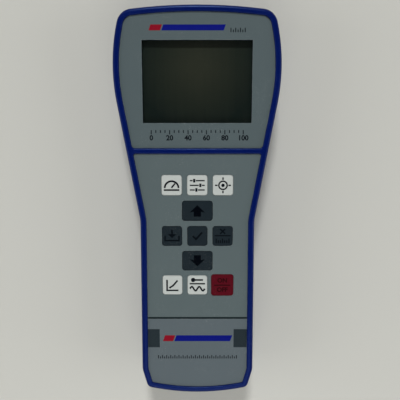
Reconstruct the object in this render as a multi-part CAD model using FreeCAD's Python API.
import FreeCAD, Part
import math
import os

from FreeCAD import Vector

# Handheld conductivity meter, lying on its back.
# Millimetres. X is across the body, +Y runs to the display end, +Z is out of the face.
# The origin is the middle of the bounding box on the plane that the back rests on.

# Outline of the body, measured at the parting line
LENGTH = 220.0
HEAD_WIDTH = 91.0
GRIP_WIDTH = 64.6
GRIP_FLARE_DEG = 0.27
TOP_ARC_R = 296.0
HEAD_SIDE_R = 104.0
HEAD_CORNER_R = 9.0
HEAD_DROP = 32.7
TAPER_DEG = 10.15
WAIST_R = 25.0
CHIN_RISE = 14.7
CHIN_DEG = 15.6
CHIN_R = 12.0
CHIN_CORNER_R = 4.0
BOTTOM_ARC_R = 130.0

# Heights and walls of the two shells
DEPTH = 35.0
PARTING = 18.0
WALL = 2.2
BACK_WALL = 2.2
DECK = 2.0
BACK_INSET = 1.0
RIM_INSET = 0.45
BACK_EDGE_R = 3.5
RIM_EDGE_R = 1.5
RIM_INNER_BEVEL = 0.3
SEAM_BEVEL = 0.25
TONGUE = 1.0
TONGUE_GAP = 0.1

# Raised rim, crossbar and the films in the two fields
RIM = 3.35
RIM_RISE = 1.0
FILM = 0.5
FILM_GAP = 0.12
CROSSBAR = 2.9
UPPER_FIELD_R = 2.0
LOWER_FIELD_R = 1.0
LABEL_LINE = 0.85

# Display window and the display stack under it
WINDOW_W = 58.9
WINDOW_H = 43.5
WINDOW_DROP = 18.3
WINDOW_TO_BAR = 13.7
LENS = 1.0
LENS_LEDGE = 1.6
LENS_GAP = 0.15
GASKET = 1.2
GASKET_BAND = 2.4
BEZEL_SHEET = 0.5
BEZEL_BAND = 2.1
GLASS = 2.6
GLASS_GAP = 0.2
BACKLIGHT = 3.0
BACKLIGHT_R = 1.0
BOARD = 1.6
DISPLAY_BOARD_MARGIN = 4.2
BOARD_CORNER_R = 2.0
HEADER = 2.0
HEADER_RISE = 4.0
DISPLAY_PINS = 10
KEYPAD_PINS = 12
PIN_PITCH = 2.54
PIN_NOTCH = 0.5

# Keys
KEY_W = 11.15
KEY_H = 11.3
ARROW_KEY_W = 17.0
POWER_KEY_W = 12.6
POWER_KEY_H = 12.65
KEY_R = 1.5
KEY_PITCH_X = 14.2
KEY_PITCH_Y = 14.4
BAR_TO_KEYS = 17.45
KEYS_TO_LINE = 19.6
KEY_RISE = 0.3
KEY_CROWN_BEVEL = 0.3
KEY_GAP = 0.15
KEY_SEAT_GAP = 0.1
KEY_FLANGE = 0.9
KEY_PLUNGER = 0.9
KEY_PLUNGER_W = 3.0
KEY_TRAVEL = 0.6
TRAVEL_SPARE = 0.1
DOME = 0.9
DOME_R = 3.6
DOME_CROWN_R = 2.2
DOME_SIDES = 8
KEYPAD_BOARD_MARGIN = 1.0

# Pieces on the main board
CHIP_COLUMN_X = 10.0
CHIP_ROW_DROP = 4.0
CPU_W = 12.0
CPU_H = 14.0
MEMORY_W = 8.0
MEMORY_H = 12.0
DRIVER_W = 6.0
DRIVER_H = 8.0
DRIVER_RISE = 16.0
CHIP = 1.8
CHIP_LIFT = 0.15
LEG_PITCH = 2.0
LEG_W = 0.8
LEG_REACH = 1.5
LEG_H = 0.5
CAPACITOR_R = 3.0
CAPACITOR_H = 4.2
CAPACITOR_PITCH = 10.0
CAPACITOR_X = -8.0
CAPACITOR_RISE = 6.0
CRYSTAL_W = 11.0
CRYSTAL_D = 4.6
CRYSTAL_H = 3.4
SHIELD_W = 36.0
SHIELD_D = 26.0
SHIELD_H = 5.0
SHIELD_RISE = 12.0
SHIELD_R = 1.0
CAN_BEVEL = 0.3

# Screws, bosses and posts
CASE_BOSS_R = 3.6
CASE_SCREW_R = 1.25
CASE_HEAD_R = 2.6
CASE_HEAD = 1.8
CASE_SCREW_LENGTH = 15.0
CASE_HEAD_BEVEL = 0.5
DRIVE_W = 2.8
DRIVE_SLOT = 0.6
DRIVE_DEPTH = 1.0
HEAD_WELL_GAP = 0.3
CASE_HEAD_SEAT = 8.0
INSERT_R = 2.2
INSERT = 5.5
TOP_BOSS_X = 31.0
TOP_BOSS_DROP = 7.2
LOW_BOSS_X = 26.0
LOW_BOSS_GAP = 2.0
BOARD_BOSS_R = 2.1
BOARD_SCREW_R = 0.9
BOARD_HEAD_R = 1.8
BOARD_HEAD = 1.2
HEAD_SIDES = 6
BOARD_SCREW_LENGTH = 4.5
SCREW_GAP = 0.1
KEYPAD_BOSS_X = 16.0
POST_R = 2.8
POST_X = 20.0
BOARD_INSET = 4.5
BOARD_SPARE = 1.0

# Cells, their bay and the sliding cover
CELL_R = 7.2
CELL_LENGTH = 50.2
CELL_COUNT = 4
CELL_GAP = 0.2
CELL_NUB_R = 2.75
CELL_NUB = 1.3
BAY_RISE = 11.4
BAY_WALL = 1.3
BAY_GAP = 0.3
CONTACT_SHEET = 0.4
LEAF_DEPTH = 3.2
LEAF_W = 7.0
LEAF_GAP = 0.1
PLATE_SPARE = 1.0
CONTACT_FOOT = 3.0
LEDGE = 1.8
LEDGE_Z = 4.5
COVER_W = 56.0
COVER_RISE = 0.3
COVER = 1.7
COVER_GAP = 0.25
COVER_RAIL = 0.9
COVER_RAIL_H = 0.9
PAD = 1.0
PAD_W = 40.0
PAD_MARGIN = 4.0
PAD_R = 2.0
GRIP_RIBS = 5
GRIP_PITCH = 2.4
GRIP_RIB_W = 18.0
GRIP_RIB = 1.2
GRIP_RIB_DEPTH = 0.6
GRIP_DROP = 12.0

# Probe socket in the display end
SOCKET_Z = 25.0
SOCKET_BARREL_R = 4.5
SOCKET_BORE_R = 3.3
SOCKET_BORE = 8.0
SOCKET_STEP = 0.4
SOCKET_SEAT_WALL = 1.2
SOCKET_FLANGE_R = 5.8
SOCKET_FLANGE = 1.4
SOCKET_PAD = 3.8
SOCKET_NUT_R = 5.8
SOCKET_NUT = 2.2
SOCKET_INSULATOR = 2.4
SOCKET_PIN_R = 0.4
SOCKET_PIN_CIRCLE = 1.6
SOCKET_PIN_SIDES = 8
SOCKET_PIN_SINK = 0.6
HIGH_PIN_TAIL = 1.8
LOW_PIN_TAIL = 0.7
SOCKET_GAP = 0.1

# How far a cutting solid runs past what it cuts, and how close two lengths count as equal
PAST = 1.0
SAME = 1e-4

# Places that follow from the sizes above
TOP = LENGTH / 2
BOTTOM = -LENGTH / 2
RIM_TOP = DEPTH
FACE = RIM_TOP - RIM_RISE
DECK_TOP = FACE - FILM
DECK_UNDER = DECK_TOP - DECK
WINDOW_Y = TOP - WINDOW_DROP - WINDOW_H / 2
BAR_TOP = TOP - WINDOW_DROP - WINDOW_H - WINDOW_TO_BAR
BAR_BOTTOM = BAR_TOP - CROSSBAR
FIRST_ROW_Y = BAR_BOTTOM - BAR_TO_KEYS
LINE_TOP = FIRST_ROW_Y - 4 * KEY_PITCH_Y - KEYS_TO_LINE
LINE_BOTTOM = LINE_TOP - LABEL_LINE
FIELD_INSET = RIM_INSET + RIM

BEZEL_TOP = DECK_UNDER - GASKET
GLASS_TOP = BEZEL_TOP - BEZEL_SHEET
GLASS_UNDER = GLASS_TOP - GLASS
DISPLAY_BOARD_TOP = GLASS_UNDER - BACKLIGHT
DISPLAY_BOARD_UNDER = DISPLAY_BOARD_TOP - BOARD
MAIN_BOARD_TOP = DISPLAY_BOARD_UNDER - HEADER
MAIN_BOARD_UNDER = MAIN_BOARD_TOP - BOARD
BEZEL_W = WINDOW_W + 2 * (BEZEL_BAND + BEZEL_SHEET)
BEZEL_H = WINDOW_H + 2 * (BEZEL_BAND + BEZEL_SHEET)
DISPLAY_BOARD_W = BEZEL_W + 2 * DISPLAY_BOARD_MARGIN
DISPLAY_BOARD_H = BEZEL_H + 2 * KEYPAD_BOARD_MARGIN
DISPLAY_BOSS_X = BEZEL_W / 2 + BOARD_BOSS_R + 2 * SCREW_GAP
DISPLAY_BOSS_Y = BEZEL_H / 2 - 2 * BOARD_BOSS_R

KEY_TOP = FACE + KEY_RISE
FLANGE_TOP = DECK_UNDER - KEY_SEAT_GAP
FLANGE_UNDER = FLANGE_TOP - KEY_FLANGE
PLUNGER_UNDER = FLANGE_UNDER - KEY_PLUNGER
DOME_TOP = PLUNGER_UNDER - KEY_TRAVEL - TRAVEL_SPARE
KEYPAD_BOARD_TOP = DOME_TOP - DOME
KEYPAD_BOARD_UNDER = KEYPAD_BOARD_TOP - BOARD

COVER_TOP = COVER_RISE + COVER
COVER_SEAT = COVER_TOP + COVER_GAP
PAD_TOP = COVER_TOP + PAD
CELL_Z = PAD_TOP + BAY_GAP + CELL_R
BAY_TOP = CELL_Z + CELL_R + CELL_GAP
CELL_PITCH = 2 * CELL_R + CELL_GAP
BAY_HALF_W = CELL_COUNT * CELL_PITCH / 2 + CELL_GAP
BAY_LOW = BOTTOM + BAY_RISE
BAY_LENGTH = CELL_LENGTH + LEAF_DEPTH + 2 * CONTACT_SHEET + CELL_NUB + BAY_GAP
BAY_HIGH = BAY_LOW + BAY_LENGTH
COVER_HIGH = BAY_HIGH + COVER_GAP
LOW_BOSS_Y = BAY_HIGH + BAY_WALL + CASE_BOSS_R + LOW_BOSS_GAP
TOP_BOSS_Y = TOP - TOP_BOSS_DROP
SOCKET_FACE = TOP - RIM_INSET
SOCKET_BACK = SOCKET_FACE - SOCKET_BORE - SOCKET_INSULATOR


class Key:
    def __init__(self, name, column, row, width=KEY_W, height=KEY_H):
        self.name = name
        self.x = column * KEY_PITCH_X
        self.y = FIRST_ROW_Y - row * KEY_PITCH_Y
        self.width = width
        self.height = height


KEYS = [
    Key("key_measure", -1, 0),
    Key("key_set", 0, 0),
    Key("key_calibrate", 1, 0),
    Key("key_up", 0, 1, ARROW_KEY_W),
    Key("key_store", -1, 2),
    Key("key_ok", 0, 2),
    Key("key_delete_unit", 1, 2),
    Key("key_down", 0, 3, ARROW_KEY_W),
    Key("key_coefficient", -1, 4),
    Key("key_temperature", 0, 4),
    Key("key_power", 1, 4, POWER_KEY_W, POWER_KEY_H),
]


# Helpers

def direction(angle_deg):
    angle = math.radians(angle_deg)
    return Vector(math.cos(angle), math.sin(angle), 0)


def angle_from(centre, point):
    return math.degrees(math.atan2(point.y - centre.y, point.x - centre.x))


def upper_crossing(centre_a, radius_a, centre_b, radius_b):
    """The higher of the two points where two circles cross."""
    line = centre_b - centre_a
    gap = line.Length
    along = (radius_a ** 2 - radius_b ** 2 + gap ** 2) / (2 * gap)
    across = math.sqrt(radius_a ** 2 - along ** 2)
    foot = centre_a + line * (along / gap)
    side = Vector(-line.y, line.x, 0) * (across / gap)
    return max((foot + side, foot - side), key=lambda point: point.y)


def lines_crossing(normal_a, reach_a, normal_b, reach_b):
    """Where two lines meet, each given by its normal and its distance from the origin."""
    det = normal_a.x * normal_b.y - normal_a.y * normal_b.x
    return Vector((reach_a * normal_b.y - reach_b * normal_a.y) / det,
                  (reach_b * normal_a.x - reach_a * normal_b.x) / det, 0)


def right_side_arcs():
    """Arcs of the outline's right half from the top to the bottom.

    Each is centre, radius, sign (-1 where it curves inwards), start and end angle.
    Straight runs join neighbours that don't meet.
    """
    top = Vector(0, TOP - TOP_ARC_R, 0)
    side = Vector(HEAD_WIDTH / 2 - HEAD_SIDE_R, TOP - HEAD_DROP, 0)
    corner = upper_crossing(top, TOP_ARC_R - HEAD_CORNER_R, side, HEAD_SIDE_R - HEAD_CORNER_R)
    corner_start = angle_from(top, corner)
    corner_end = angle_from(side, corner)

    # The taper is tangent to the side arc, and the waist arc to the taper and the grip
    taper = direction(-TAPER_DEG)
    taper_reach = taper.dot(side) + HEAD_SIDE_R
    waist_x = GRIP_WIDTH / 2 + WAIST_R
    waist = Vector(waist_x, (taper.x * waist_x - taper_reach - WAIST_R) / -taper.y, 0)

    # Below the waist the grip's straight edge widens slightly, down to the slanted chin
    grip = direction(GRIP_FLARE_DEG)
    grip_reach = grip.dot(waist) - WAIST_R
    slant = direction(-CHIN_DEG)
    slant_reach = slant.dot(lines_crossing(grip, grip_reach, direction(90), BOTTOM + CHIN_RISE))
    chin = lines_crossing(grip, grip_reach - CHIN_R, slant, slant_reach - CHIN_R)

    # The chin ends in a corner on the bottom arc
    bottom = Vector(0, BOTTOM + BOTTOM_ARC_R, 0)
    along = Vector(slant.y, -slant.x, 0)
    foot = slant * (slant_reach - CHIN_CORNER_R)
    start = foot - bottom
    middle = start.dot(along)
    reach = start.dot(start) - (BOTTOM_ARC_R - CHIN_CORNER_R) ** 2
    low_corner = foot + along * (math.sqrt(middle ** 2 - reach) - middle)
    bottom_start = angle_from(bottom, low_corner)

    return [
        (top, TOP_ARC_R, 1, 90, corner_start),
        (corner, HEAD_CORNER_R, 1, corner_start, corner_end),
        (side, HEAD_SIDE_R, 1, corner_end, -TAPER_DEG),
        (waist, WAIST_R, -1, -TAPER_DEG, GRIP_FLARE_DEG),
        (chin, CHIN_R, 1, GRIP_FLARE_DEG, -CHIN_DEG),
        (low_corner, CHIN_CORNER_R, 1, -CHIN_DEG, bottom_start),
        (bottom, BOTTOM_ARC_R, 1, bottom_start, -90),
    ]


def outline(inset, z):
    """The body's outline drawn in by inset, as a closed wire at height z."""
    edges = []
    last = None
    for centre, radius, sign, start, end in right_side_arcs():
        reach = sign * radius - inset
        first, middle, final = [
            centre + direction(angle) * reach
            for angle in (start, (start + end) / 2, end)
        ]
        if last is not None and (first - last).Length > SAME:
            edges.append(Part.makeLine(last, first))
        edges.append(Part.Arc(first, middle, final).toShape())
        last = final
    mirrored = [edge.mirror(Vector(0, 0, 0), Vector(1, 0, 0)) for edge in edges]
    wire = Part.Wire(Part.__sortEdges__(edges + mirrored))
    wire.translate(Vector(0, 0, z))
    return wire


def body(inset_low, z_low, inset_high, z_high):
    """A solid between the outline at two heights, each drawn in by its own inset."""
    return Part.makeLoft([outline(inset_low, z_low), outline(inset_high, z_high)], True, True)


def slab(inset, z_low, z_high):
    """An upright prism of the outline drawn in by inset, also past its smallest radius."""
    face = Part.Face(outline(0, z_low)).makeOffset2D(-inset)
    return face.extrude(Vector(0, 0, z_high - z_low))


def block(x_low, x_high, y_low, y_high, z_low, z_high):
    size = (x_high - x_low, y_high - y_low, z_high - z_low)
    return Part.makeBox(*size, Vector(x_low, y_low, z_low))


def centred_block(x, y, width, height, z_low, z_high):
    return block(x - width / 2, x + width / 2, y - height / 2, y + height / 2, z_low, z_high)


def across(y_low, y_high, z_low, z_high):
    """A block that is wider than the body."""
    return block(-HEAD_WIDTH, HEAD_WIDTH, y_low, y_high, z_low, z_high)


def rounded_block(x, y, width, height, radius, z_low, z_high):
    """A block with rounded upright edges."""
    solid = centred_block(x, y, width, height, z_low, z_high)
    return solid.makeFillet(radius, upright_edges(solid))


def upright_edges(solid):
    return [edge for edge in solid.Edges if abs(edge.tangentAt(edge.FirstParameter).z) > 1 - SAME]


def level_edges(solid, z):
    """Edges that lie in the plane at height z."""
    return [
        edge for edge in solid.Edges
        if abs(edge.BoundBox.ZMin - z) < SAME and abs(edge.BoundBox.ZMax - z) < SAME
    ]


def post(x, y, radius, z_low, z_high):
    return Part.makeCylinder(radius, z_high - z_low, Vector(x, y, z_low))


def rod_along_y(radius, y_low, y_high, x, z):
    return Part.makeCylinder(radius, y_high - y_low, Vector(x, y_low, z), Vector(0, 1, 0))


def polygon(centre, radius, sides, across, up):
    """A closed wire of equal sides in the plane of two unit vectors; radius reaches its corners."""
    turns = [math.radians(360 * step / sides) for step in range(sides + 1)]
    return Part.makePolygon([
        centre + across * (radius * math.cos(turn)) + up * (radius * math.sin(turn)) for turn in turns])


def sided_post(x, y, radius, sides, z_low, z_high):
    wire = polygon(Vector(x, y, z_low), radius, sides, Vector(1, 0, 0), Vector(0, 1, 0))
    return Part.Face(wire).extrude(Vector(0, 0, z_high - z_low))


def sided_rod_along_y(radius, sides, y_low, y_high, x, z):
    wire = polygon(Vector(x, y_low, z), radius, sides, Vector(1, 0, 0), Vector(0, 0, 1))
    return Part.Face(wire).extrude(Vector(0, y_high - y_low, 0))


def fuse_all(shapes):
    first, rest = shapes[0], shapes[1:]
    return first.fuse(rest).removeSplitter() if rest else first


def both_sides(x, y_values):
    return [(sign * x, y) for y in y_values for sign in (-1, 1)]


def field(y_low, y_high, gap, corner_y, corner_r, z_low, z_high):
    """A prism of the inner outline between two cross lines, with its square corners rounded."""
    solid = slab(FIELD_INSET + gap, z_low, z_high).common(across(y_low, y_high, z_low, z_high))
    corners = [edge for edge in upright_edges(solid) if abs(edge.CenterOfMass.y - corner_y) < SAME]
    return solid.makeFillet(corner_r - gap, corners)


def upper_field(gap, z_low, z_high):
    return field(BAR_TOP + gap, TOP, gap, BAR_TOP + gap, UPPER_FIELD_R, z_low, z_high)


def lower_field(gap, z_low, z_high):
    return field(BOTTOM, BAR_BOTTOM - gap, gap, BAR_BOTTOM - gap, LOWER_FIELD_R, z_low, z_high)


def key_hole(key, gap, z_low, z_high):
    size = (key.width + 2 * gap, key.height + 2 * gap)
    return rounded_block(key.x, key.y, *size, KEY_R + gap, z_low, z_high)


CASE_SCREW_PLACES = both_sides(TOP_BOSS_X, [TOP_BOSS_Y]) + both_sides(LOW_BOSS_X, [LOW_BOSS_Y])
DISPLAY_SCREW_PLACES = both_sides(
    DISPLAY_BOSS_X, [WINDOW_Y - DISPLAY_BOSS_Y, WINDOW_Y + DISPLAY_BOSS_Y])
KEYPAD_SCREW_PLACES = both_sides(
    KEYPAD_BOSS_X, [FIRST_ROW_Y - KEY_PITCH_Y, FIRST_ROW_Y - 3 * KEY_PITCH_Y])
MAIN_SCREW_PLACES = (
    both_sides(DISPLAY_BOSS_X, [WINDOW_Y + DISPLAY_BOSS_Y - 4 * BOARD_BOSS_R])
    + both_sides(POST_X, [LOW_BOSS_Y + 4 * CASE_BOSS_R]))


# Housing

def front_outer():
    solid = body(0, PARTING, RIM_INSET, RIM_TOP)
    solid = solid.makeFillet(RIM_EDGE_R, level_edges(solid, RIM_TOP))
    solid = solid.makeChamfer(SEAM_BEVEL, level_edges(solid, PARTING))
    pockets = [upper_field(0, DECK_TOP, RIM_TOP + PAST), lower_field(0, DECK_TOP, RIM_TOP + PAST)]
    solid = solid.cut(pockets)
    return solid.makeChamfer(RIM_INNER_BEVEL, inner_rim_edges(solid))


def inner_rim_edges(solid):
    """The edges of the two pockets on the rim's top, inside the rounded outer edge."""
    outer = slab(RIM_INSET + RIM_EDGE_R + RIM_INNER_BEVEL, RIM_TOP - PAST, RIM_TOP + PAST)
    return [
        edge for edge in level_edges(solid, RIM_TOP)
        if outer.isInside(edge.CenterOfMass, SAME, True)
    ]


def front_bosses():
    bosses = []
    for x, y in CASE_SCREW_PLACES:
        bosses.append(post(x, y, CASE_BOSS_R, PARTING, DECK_TOP - WALL / 2))
    for x, y in DISPLAY_SCREW_PLACES:
        bosses.append(post(x, y, BOARD_BOSS_R, DISPLAY_BOARD_TOP, DECK_TOP - WALL / 2))
    for x, y in KEYPAD_SCREW_PLACES:
        bosses.append(post(x, y, BOARD_BOSS_R, KEYPAD_BOARD_TOP, DECK_TOP - WALL / 2))
    return bosses


def front_shell():
    inner_inset = WALL + RIM_INSET
    cavity = body(WALL, PARTING - PAST, inner_inset, DECK_UNDER)
    shell = front_outer().cut(cavity)

    # Thicker end wall that carries the probe socket
    seat_r = SOCKET_FLANGE_R + SOCKET_SEAT_WALL
    seat = rod_along_y(seat_r, TOP - SOCKET_PAD - SOCKET_FLANGE, TOP - WALL / 2, 0, SOCKET_Z)
    seat = seat.common(across(BOTTOM, TOP, PARTING + TONGUE + 2 * TONGUE_GAP, DECK_TOP - WALL / 2))
    shell = fuse_all([shell, seat] + front_bosses())

    groove = slab(WALL / 2 - TONGUE_GAP, PARTING - PAST, PARTING + TONGUE + TONGUE_GAP)
    cuts = [groove.cut(slab(WALL * 2, PARTING - 2 * PAST, PARTING + TONGUE + PAST))]
    lens_w = WINDOW_W + 2 * (LENS_LEDGE + LENS_GAP)
    lens_h = WINDOW_H + 2 * (LENS_LEDGE + LENS_GAP)
    cuts.append(centred_block(0, WINDOW_Y, WINDOW_W, WINDOW_H, DECK_UNDER - PAST, RIM_TOP))
    cuts.append(centred_block(0, WINDOW_Y, lens_w, lens_h, DECK_TOP - LENS, RIM_TOP))
    for key in KEYS:
        cuts.append(centred_block(key.x, key.y, key.width + 2 * KEY_GAP, key.height + 2 * KEY_GAP,
                                  DECK_UNDER - PAST, RIM_TOP))
    flange_seat = SOCKET_FACE - SOCKET_FLANGE
    cuts.append(rod_along_y(SOCKET_FLANGE_R + SOCKET_GAP, flange_seat, TOP + PAST, 0, SOCKET_Z))
    cuts.append(rod_along_y(SOCKET_BARREL_R + SOCKET_GAP, SOCKET_BACK, TOP + PAST, 0, SOCKET_Z))
    for x, y in CASE_SCREW_PLACES:
        cuts.append(post(x, y, INSERT_R, PARTING - PAST, PARTING + INSERT))
    for x, y in DISPLAY_SCREW_PLACES:
        cuts.append(screw_hole_above(x, y, DISPLAY_BOARD_TOP))
    for x, y in KEYPAD_SCREW_PLACES:
        cuts.append(screw_hole_above(x, y, KEYPAD_BOARD_TOP))
    return shell.cut(cuts)


def screw_hole_above(x, y, z):
    depth = BOARD_SCREW_LENGTH - BOARD + SCREW_GAP
    return post(x, y, BOARD_SCREW_R, z - PAST, z + depth)


def rear_outer():
    solid = body(BACK_INSET, 0, 0, PARTING)
    solid = solid.makeFillet(BACK_EDGE_R, level_edges(solid, 0))
    return solid.makeChamfer(SEAM_BEVEL, level_edges(solid, PARTING))


def cover_space(gap):
    """The room of the sliding cover, from its inner edge out through the chin."""
    half = COVER_W / 2 + gap
    rail_half = half + COVER_RAIL
    rail_low = COVER_TOP - COVER_RAIL_H - gap
    low = BOTTOM - PAST
    high = COVER_HIGH - COVER_GAP + gap
    plate = block(-half, half, low, high, -PAST, COVER_TOP + gap)
    rails = block(-rail_half, rail_half, low, high, rail_low, COVER_TOP + gap)
    end = block(-BAY_HALF_W + LEDGE + COVER_GAP - gap, BAY_HALF_W - LEDGE - COVER_GAP + gap,
                low, BAY_LOW, -PAST, PAD_TOP + gap)
    return fuse_all([plate, rails, end])


def rear_shell():
    cavity = body(WALL + BACK_INSET, BACK_WALL, WALL, PARTING + PAST)
    shell = rear_outer().cut(cavity)

    # Tongue that seats inside the front shell
    tongue = slab(WALL / 2, PARTING - SEAM_BEVEL, PARTING + TONGUE)
    shell = shell.fuse(tongue.cut(slab(WALL, PARTING - PAST, PARTING + TONGUE + PAST)))

    # Walls and roof of the cell bay
    bay_low = BAY_LOW - BAY_WALL
    bay_high = BAY_HIGH + BAY_WALL
    bay_floor = BACK_WALL / 4
    bay = body(WALL + BACK_INSET - BACK_WALL / 8, bay_floor, WALL, PARTING)
    bay = bay.fuse(slab(WALL + RIM_INSET, PARTING - TONGUE_GAP, BAY_TOP + BAY_WALL))
    bay = bay.common(across(bay_low, bay_high, bay_floor, BAY_TOP + BAY_WALL))
    parts = [shell, bay]
    for x, y in CASE_SCREW_PLACES:
        parts.append(post(x, y, CASE_BOSS_R, BACK_WALL / 2, PARTING))
    for x, y in MAIN_SCREW_PLACES:
        parts.append(post(x, y, POST_R, BACK_WALL / 2, MAIN_BOARD_UNDER))
    shell = fuse_all(parts)

    ledge_half = BAY_HALF_W - LEDGE
    cuts = [
        block(-BAY_HALF_W, BAY_HALF_W, BAY_LOW, BAY_HIGH, LEDGE_Z, BAY_TOP),
        block(-ledge_half, ledge_half, BAY_LOW, BAY_HIGH, -PAST, LEDGE_Z + PAST),
        cover_space(COVER_GAP),
    ]
    for x in contact_tail_places():
        cuts.append(centred_block(x, BAY_HIGH - CONTACT_SHEET, LEAF_W / 2 + CONTACT_SHEET,
                                  3 * CONTACT_SHEET, BAY_TOP - PAST, BAY_TOP + BAY_WALL + PAST))
    for x, y in CASE_SCREW_PLACES:
        cuts.append(post(x, y, CASE_HEAD_R + HEAD_WELL_GAP, -PAST, CASE_HEAD_SEAT))
        cuts.append(post(x, y, CASE_SCREW_R + SCREW_GAP, -PAST, PARTING + PAST))
    for x, y in MAIN_SCREW_PLACES:
        low = MAIN_BOARD_UNDER - BOARD_SCREW_LENGTH
        cuts.append(post(x, y, BOARD_SCREW_R, low, MAIN_BOARD_UNDER + PAST))
    return shell.cut(cuts)


# Films on the face

def display_overlay():
    film = upper_field(FILM_GAP, DECK_TOP, FACE)
    return film.cut(centred_block(0, WINDOW_Y, WINDOW_W, WINDOW_H, DECK_TOP - PAST, FACE + PAST))


def keypad_overlay():
    film = lower_field(FILM_GAP, DECK_TOP, FACE).common(across(LINE_TOP, TOP, DECK_TOP, FACE))
    return film.cut([key_hole(key, KEY_GAP, DECK_TOP - PAST, FACE + PAST) for key in KEYS])


def lower_label():
    return lower_field(FILM_GAP, DECK_TOP, FACE).common(across(BOTTOM, LINE_BOTTOM, DECK_TOP, FACE))


# Display stack

def display_window():
    size = (WINDOW_W + 2 * LENS_LEDGE, WINDOW_H + 2 * LENS_LEDGE)
    return centred_block(0, WINDOW_Y, *size, DECK_TOP - LENS, DECK_TOP)


def frame_of(width, height, band, z_low, z_high):
    """A flat frame round the window's centre; width and height are its outer size."""
    outer = centred_block(0, WINDOW_Y, width, height, z_low, z_high)
    size = (width - 2 * band, height - 2 * band)
    return outer.cut(centred_block(0, WINDOW_Y, *size, z_low - PAST, z_high + PAST))


def display_gasket():
    return frame_of(BEZEL_W, BEZEL_H, GASKET_BAND, BEZEL_TOP, DECK_UNDER)


def display_bezel():
    lid = frame_of(BEZEL_W, BEZEL_H, BEZEL_BAND, GLASS_TOP, BEZEL_TOP)
    walls = frame_of(BEZEL_W, BEZEL_H, BEZEL_SHEET, DISPLAY_BOARD_TOP, BEZEL_TOP)
    return fuse_all([lid, walls])


def glass_size():
    margin = 2 * (BEZEL_SHEET + GLASS_GAP)
    return BEZEL_W - margin, BEZEL_H - margin


def display_glass():
    return centred_block(0, WINDOW_Y, *glass_size(), GLASS_UNDER, GLASS_TOP)


def backlight():
    width, height = glass_size()
    size = (width - BACKLIGHT_R, height - BACKLIGHT_R)
    return rounded_block(0, WINDOW_Y, *size, BACKLIGHT_R, DISPLAY_BOARD_TOP, GLASS_UNDER)


def board_holes(places, z_low):
    return [post(x, y, BOARD_SCREW_R + SCREW_GAP, z_low - PAST, z_low + BOARD + PAST) for x, y in places]


def display_board():
    board = rounded_block(0, WINDOW_Y, DISPLAY_BOARD_W, DISPLAY_BOARD_H, BOARD_CORNER_R,
                          DISPLAY_BOARD_UNDER, DISPLAY_BOARD_TOP)
    room = slab(BOARD_INSET - BOARD_SPARE, DISPLAY_BOARD_UNDER, DISPLAY_BOARD_TOP)
    return board.common(room).cut(board_holes(DISPLAY_SCREW_PLACES, DISPLAY_BOARD_UNDER))


def pin_header(x, y, count, z_low, z_high):
    """A moulded strip between two boards, notched between its pins."""
    length = count * PIN_PITCH
    strip = centred_block(x, y, length, PIN_PITCH, z_low, z_high)
    notches = []
    for index in range(count - 1):
        notch_x = x - length / 2 + (index + 1) * PIN_PITCH
        for side in (-1, 1):
            notches.append(centred_block(notch_x, y + side * PIN_PITCH / 2, PIN_NOTCH, PIN_NOTCH,
                                         z_low - PAST, z_high + PAST))
    return strip.cut(notches)


def display_header():
    y = WINDOW_Y - DISPLAY_BOARD_H / 2 + HEADER_RISE
    return pin_header(0, y, DISPLAY_PINS, MAIN_BOARD_TOP, DISPLAY_BOARD_UNDER)


# Boards

def main_board():
    room = slab(BOARD_INSET, MAIN_BOARD_UNDER, MAIN_BOARD_TOP)
    shoulder = WINDOW_Y + DISPLAY_BOARD_H / 2
    waist = LOW_BOSS_Y + CASE_BOSS_R + BOARD_SPARE
    middle = room.common(across(waist, shoulder, MAIN_BOARD_UNDER, MAIN_BOARD_TOP))
    tab_half = TOP_BOSS_X - CASE_BOSS_R - BOARD_SPARE
    top_tab = block(-tab_half, tab_half, shoulder - PAST, SOCKET_BACK - SCREW_GAP,
                    MAIN_BOARD_UNDER, MAIN_BOARD_TOP)
    low = BAY_HIGH + BAY_WALL + BOARD_SPARE / 2
    half = LOW_BOSS_X - CASE_BOSS_R - BOARD_SPARE
    low_tab = block(-half, half, low, waist + PAST, MAIN_BOARD_UNDER, MAIN_BOARD_TOP)
    board = fuse_all([middle, top_tab, low_tab])
    return board.cut(board_holes(MAIN_SCREW_PLACES, MAIN_BOARD_UNDER))


def chip(x, y, width, height):
    """A moulded chip with a row of legs along its two long sides."""
    low = MAIN_BOARD_TOP
    shape = [centred_block(x, y, width, height, low + CHIP_LIFT, low + CHIP)]
    legs = int(height / LEG_PITCH)
    for index in range(legs):
        leg_y = y + (index - (legs - 1) / 2) * LEG_PITCH
        shape.append(centred_block(x, leg_y, width + 2 * LEG_REACH, LEG_W, low, low + LEG_H))
    return fuse_all(shape)


def board_chips():
    y = FIRST_ROW_Y - KEY_PITCH_Y - CHIP_ROW_DROP
    return Part.makeCompound([
        chip(-CHIP_COLUMN_X, y, CPU_W, CPU_H),
        chip(CHIP_COLUMN_X, y, MEMORY_W, MEMORY_H),
        chip(CHIP_COLUMN_X, y + DRIVER_RISE, DRIVER_W, DRIVER_H),
    ])


def board_capacitors():
    y = FIRST_ROW_Y + CAPACITOR_RISE
    top = MAIN_BOARD_TOP + CAPACITOR_H
    cans = []
    for step in (-1, 0, 1):
        can = post(CAPACITOR_X + step * CAPACITOR_PITCH, y, CAPACITOR_R, MAIN_BOARD_TOP, top)
        cans.append(can.makeChamfer(CAN_BEVEL, level_edges(can, top)))
    return Part.makeCompound(cans)


def crystal_can():
    y = FIRST_ROW_Y - 3 * KEY_PITCH_Y
    top = MAIN_BOARD_TOP + CRYSTAL_H
    can = rounded_block(-CHIP_COLUMN_X, y, CRYSTAL_W, CRYSTAL_D, CRYSTAL_D / 2 - CAN_BEVEL / 2,
                        MAIN_BOARD_TOP, top)
    return can.makeChamfer(CAN_BEVEL, level_edges(can, top))


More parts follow.
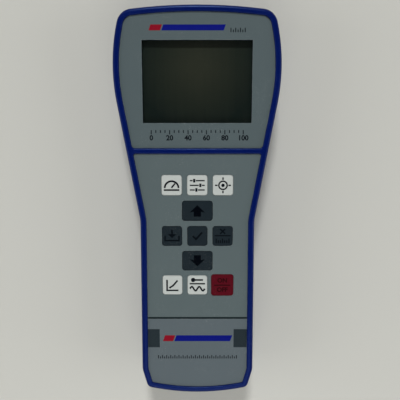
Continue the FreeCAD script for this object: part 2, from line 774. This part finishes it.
def shield_can():
    """Folded tin box under the board's rear side that covers the measuring stage."""
    low = MAIN_BOARD_UNDER - SHIELD_H
    can = rounded_block(0, WINDOW_Y + SHIELD_RISE, SHIELD_W, SHIELD_D, SHIELD_R, low, MAIN_BOARD_UNDER)
    return can.makeChamfer(CAN_BEVEL, level_edges(can, low))


def keypad_board_ends():
    top = FIRST_ROW_Y + KEY_H / 2 + KEY_FLANGE + KEYPAD_BOARD_MARGIN
    low = FIRST_ROW_Y - 4 * KEY_PITCH_Y - POWER_KEY_H / 2 - KEY_FLANGE - KEYPAD_BOARD_MARGIN
    return low, top


def keypad_board():
    low, top = keypad_board_ends()
    half = KEY_PITCH_X + POWER_KEY_W / 2 + KEYPAD_BOARD_MARGIN
    board = rounded_block(0, (low + top) / 2, 2 * half, top - low, BOARD_CORNER_R,
                          KEYPAD_BOARD_UNDER, KEYPAD_BOARD_TOP)
    return board.cut(board_holes(KEYPAD_SCREW_PLACES, KEYPAD_BOARD_UNDER))


def keypad_header():
    y = FIRST_ROW_Y - 2 * KEY_PITCH_Y
    return pin_header(0, y, KEYPAD_PINS, MAIN_BOARD_TOP, KEYPAD_BOARD_UNDER)


def dome_switches():
    """Snap domes on the keypad board, one under each key."""
    x_way, y_way = Vector(1, 0, 0), Vector(0, 1, 0)
    domes = []
    for key in KEYS:
        foot = Vector(key.x, key.y, KEYPAD_BOARD_TOP)
        low = polygon(foot, DOME_R, DOME_SIDES, x_way, y_way)
        high = polygon(foot + Vector(0, 0, DOME), DOME_CROWN_R, DOME_SIDES, x_way, y_way)
        domes.append(Part.makeLoft([low, high], True, True))
    return Part.makeCompound(domes)


# Keys

def key_cap(key):
    """A cap with bevelled shoulders, a flange that the deck holds down and a short square plunger."""
    cap = rounded_block(key.x, key.y, key.width, key.height, KEY_R, FLANGE_UNDER, KEY_TOP)
    cap = cap.makeChamfer(KEY_CROWN_BEVEL, level_edges(cap, KEY_TOP))
    flange = centred_block(key.x, key.y, key.width + 2 * KEY_FLANGE, key.height + 2 * KEY_FLANGE,
                           FLANGE_UNDER, FLANGE_TOP)
    plunger = centred_block(key.x, key.y, KEY_PLUNGER_W, KEY_PLUNGER_W, PLUNGER_UNDER, FLANGE_TOP)
    return fuse_all([cap, flange, plunger])


# Probe socket

def probe_socket():
    """Turned barrel with a flange, open to the outside over the depth of the plug."""
    flange = rod_along_y(SOCKET_FLANGE_R, SOCKET_FACE - SOCKET_FLANGE, SOCKET_FACE, 0, SOCKET_Z)
    barrel = rod_along_y(SOCKET_BARREL_R, SOCKET_BACK, SOCKET_FACE, 0, SOCKET_Z)
    bore = rod_along_y(SOCKET_BORE_R, SOCKET_FACE - SOCKET_BORE, SOCKET_FACE + PAST, 0, SOCKET_Z)
    seat = rod_along_y(SOCKET_BORE_R - SOCKET_STEP, SOCKET_BACK - PAST, SOCKET_FACE, 0, SOCKET_Z)
    shape = fuse_all([flange, barrel])
    rim = [edge for edge in shape.Edges if abs(edge.BoundBox.YMin - SOCKET_FACE) < SAME]
    return shape.makeChamfer(SOCKET_STEP, rim).cut([bore, seat])


def socket_insulator():
    face = SOCKET_FACE - SOCKET_BORE
    disc = rod_along_y(SOCKET_BORE_R - SOCKET_STEP, SOCKET_BACK, face, 0, SOCKET_Z)
    return disc.cut([
        sided_rod_along_y(SOCKET_PIN_R, SOCKET_PIN_SIDES, SOCKET_BACK - PAST, face + PAST, x, z)
        for x, z in socket_pin_places()])


def socket_pin_places():
    return [(SOCKET_PIN_CIRCLE * math.cos(angle), SOCKET_Z + SOCKET_PIN_CIRCLE * math.sin(angle))
            for angle in (math.radians(45 + 90 * index) for index in range(4))]


def socket_pins():
    """Four contacts that run back from the insulator and down to the main board."""
    face = SOCKET_FACE - SOCKET_BORE
    pins = []
    for x, z in socket_pin_places():
        tail = SOCKET_BACK - (HIGH_PIN_TAIL if z > SOCKET_Z else LOW_PIN_TAIL)
        run = sided_rod_along_y(SOCKET_PIN_R, SOCKET_PIN_SIDES, tail, face - SOCKET_PIN_SINK, x, z)
        drop = centred_block(x, tail, 2 * SOCKET_PIN_R, 2 * SOCKET_PIN_R, MAIN_BOARD_TOP, z + SOCKET_PIN_R)
        pins.append(fuse_all([run, drop]))
    return Part.makeCompound(pins)


def socket_nut():
    face = TOP - SOCKET_PAD - SOCKET_FLANGE
    nut = sided_rod_along_y(SOCKET_NUT_R, HEAD_SIDES, face - SOCKET_NUT, face, 0, SOCKET_Z)
    return nut.cut(rod_along_y(SOCKET_BARREL_R, SOCKET_BACK, face + PAST, 0, SOCKET_Z))


# Cells, contacts and cover

def cell_columns():
    return [(index - (CELL_COUNT - 1) / 2) * CELL_PITCH for index in range(CELL_COUNT)]


def battery_cells():
    """Round cells side by side, every second one turned end for end."""
    cells = []
    for index, x in enumerate(cell_columns()):
        low = BAY_LOW + CONTACT_SHEET + (LEAF_DEPTH if index % 2 == 0 else CELL_NUB)
        can = rod_along_y(CELL_R, low, low + CELL_LENGTH, x, CELL_Z)
        if index % 2 == 0:
            end = low + CELL_LENGTH
            nub = rod_along_y(CELL_NUB_R, end - CELL_NUB, end + CELL_NUB, x, CELL_Z)
        else:
            nub = rod_along_y(CELL_NUB_R, low - CELL_NUB, low + CELL_NUB, x, CELL_Z)
        cells.append(fuse_all([can, nub]))
    return Part.makeCompound(cells)


def contact_tail_places():
    """The tails stand nearer the middle than their cells, clear of the screw bosses."""
    shift = LEAF_W / 2 - CONTACT_SHEET
    columns = cell_columns()
    return [columns[0] + shift, columns[-1] - shift]


def contact_plate(x_low, x_high, y_low, z_low, z_high):
    return block(x_low, x_high, y_low, y_low + CONTACT_SHEET, z_low, z_high)


def battery_contacts():
    """Flat plates at both ends; the two outer ones at the high end reach up to the main board."""
    columns = cell_columns()
    half = LEAF_W / 2 + PLATE_SPARE
    low, high = CELL_Z - LEAF_W / 2, CELL_Z + LEAF_W / 2
    far = BAY_HIGH - CONTACT_SHEET
    plates = [
        contact_plate(columns[0] - half, columns[1] + half, BAY_LOW, low, high),
        contact_plate(columns[2] - half, columns[3] + half, BAY_LOW, low, high),
        contact_plate(columns[1] - half, columns[2] + half, far, low, high),
    ]
    for x, column in zip(contact_tail_places(), (columns[0], columns[-1])):
        plate = contact_plate(column - half, column + half, far, low, high)
        tail = contact_plate(x - LEAF_W / 4, x + LEAF_W / 4, far, low, MAIN_BOARD_TOP + CONTACT_SHEET)
        foot = block(x - LEAF_W / 4, x + LEAF_W / 4, far, BAY_HIGH + BAY_WALL + CONTACT_FOOT,
                     MAIN_BOARD_TOP, MAIN_BOARD_TOP + CONTACT_SHEET)
        plates.append(fuse_all([plate, tail, foot]))
    return Part.makeCompound(plates)


def leaf(x, y, sign):
    """A bowed strip that presses on a cell's flat end; sign is the way it bulges."""
    depth = sign * (LEAF_DEPTH - LEAF_GAP)
    half = LEAF_W / 2 - CONTACT_SHEET
    ends = [Vector(x, y, CELL_Z - half), Vector(x, y + depth, CELL_Z), Vector(x, y, CELL_Z + half)]
    inner = [point - Vector(0, sign * CONTACT_SHEET, 0) for point in ends]
    inner[0].y = y
    inner[2].y = y
    inner[0].z += 2 * CONTACT_SHEET
    inner[2].z -= 2 * CONTACT_SHEET
    edges = [
        Part.Arc(*ends).toShape(),
        Part.makeLine(ends[2], inner[2]),
        Part.Arc(inner[2], inner[1], inner[0]).toShape(),
        Part.makeLine(inner[0], ends[0]),
    ]
    strip = Part.Face(Part.Wire(edges)).extrude(Vector(LEAF_W / 2, 0, 0))
    strip.translate(Vector(-LEAF_W / 4, 0, 0))
    return strip


def battery_springs():
    leaves = []
    for index, x in enumerate(cell_columns()):
        if index % 2 == 0:
            leaves.append(leaf(x, BAY_LOW + CONTACT_SHEET, 1))
        else:
            leaves.append(leaf(x, BAY_HIGH - CONTACT_SHEET, -1))
    return Part.makeCompound(leaves)


def battery_cover():
    """The cover carries its own piece of the back's rounded chin."""
    plate = rear_outer().common(cover_space(0))
    plate = plate.common(across(BOTTOM, TOP, COVER_RISE, PAD_TOP))
    grips = []
    for index in range(GRIP_RIBS):
        y = COVER_HIGH - GRIP_DROP - index * GRIP_PITCH
        grips.append(centred_block(0, y, GRIP_RIB_W, GRIP_RIB, COVER_RISE - PAST, COVER_RISE + GRIP_RIB_DEPTH))
    return plate.cut(grips)


def cover_pad():
    low = BAY_LOW + PAD_MARGIN
    high = BAY_HIGH - PAD_MARGIN
    return rounded_block(0, (low + high) / 2, PAD_W, high - low, PAD_R, COVER_TOP, PAD_TOP)


# Fasteners

def cross_slot(x, y, z):
    """The cross that a driver turns, sunk upwards from height z."""
    return fuse_all([
        centred_block(x, y, width, height, z - PAST, z + DRIVE_DEPTH)
        for width, height in ((DRIVE_W, DRIVE_SLOT), (DRIVE_SLOT, DRIVE_W))])


def case_screws():
    screws = []
    for x, y in CASE_SCREW_PLACES:
        head_low = CASE_HEAD_SEAT - CASE_HEAD
        head = post(x, y, CASE_HEAD_R, head_low, CASE_HEAD_SEAT)
        head = head.makeChamfer(CASE_HEAD_BEVEL, level_edges(head, head_low))
        shank = post(x, y, CASE_SCREW_R, head_low, CASE_HEAD_SEAT + CASE_SCREW_LENGTH)
        screws.append(fuse_all([head, shank]).cut(cross_slot(x, y, head_low)))
    return Part.makeCompound(screws)


def screw_inserts():
    inserts = []
    for x, y in CASE_SCREW_PLACES:
        ring = post(x, y, INSERT_R, PARTING, PARTING + INSERT)
        inserts.append(ring.cut(post(x, y, CASE_SCREW_R, PARTING - PAST, PARTING + INSERT + PAST)))
    return Part.makeCompound(inserts)


def board_screw(x, y, seat, way):
    """A small hexagon screw; way is +1 where it is driven upwards, and seat its head's seat."""
    head = sided_post(x, y, BOARD_HEAD_R, HEAD_SIDES, seat, seat - way * BOARD_HEAD)
    shank = sided_post(x, y, BOARD_SCREW_R, HEAD_SIDES, seat, seat + way * BOARD_SCREW_LENGTH)
    return fuse_all([head, shank])


def board_screws():
    screws = [board_screw(x, y, DISPLAY_BOARD_UNDER, 1) for x, y in DISPLAY_SCREW_PLACES]
    screws += [board_screw(x, y, KEYPAD_BOARD_UNDER, 1) for x, y in KEYPAD_SCREW_PLACES]
    screws += [board_screw(x, y, MAIN_BOARD_TOP, -1) for x, y in MAIN_SCREW_PLACES]
    return Part.makeCompound(screws)


MAKERS = {
    "front_shell": front_shell,
    "rear_shell": rear_shell,
    "display_overlay": display_overlay,
    "keypad_overlay": keypad_overlay,
    "lower_label": lower_label,
    "display_window": display_window,
    "display_gasket": display_gasket,
    "display_bezel": display_bezel,
    "display_glass": display_glass,
    "backlight": backlight,
    "display_board": display_board,
    "display_header": display_header,
    "main_board": main_board,
    "board_chips": board_chips,
    "board_capacitors": board_capacitors,
    "crystal_can": crystal_can,
    "shield_can": shield_can,
    "keypad_board": keypad_board,
    "keypad_header": keypad_header,
    "dome_switches": dome_switches,
    "probe_socket": probe_socket,
    "socket_insulator": socket_insulator,
    "socket_pins": socket_pins,
    "socket_nut": socket_nut,
    "battery_cells": battery_cells,
    "battery_contacts": battery_contacts,
    "battery_springs": battery_springs,
    "battery_cover": battery_cover,
    "cover_pad": cover_pad,
    "case_screws": case_screws,
    "screw_inserts": screw_inserts,
    "board_screws": board_screws,
}

for node, make in MAKERS.items():
    shape = make()
    shape.exportStep("parts/" + node + ".step")
    print(node, len(shape.Solids), round(shape.Volume, 1), shape.isValid())

for key in KEYS:
    shape = key_cap(key)
    shape.exportStep("parts/" + key.name + ".step")
    print(key.name, len(shape.Solids), round(shape.Volume, 1), shape.isValid())
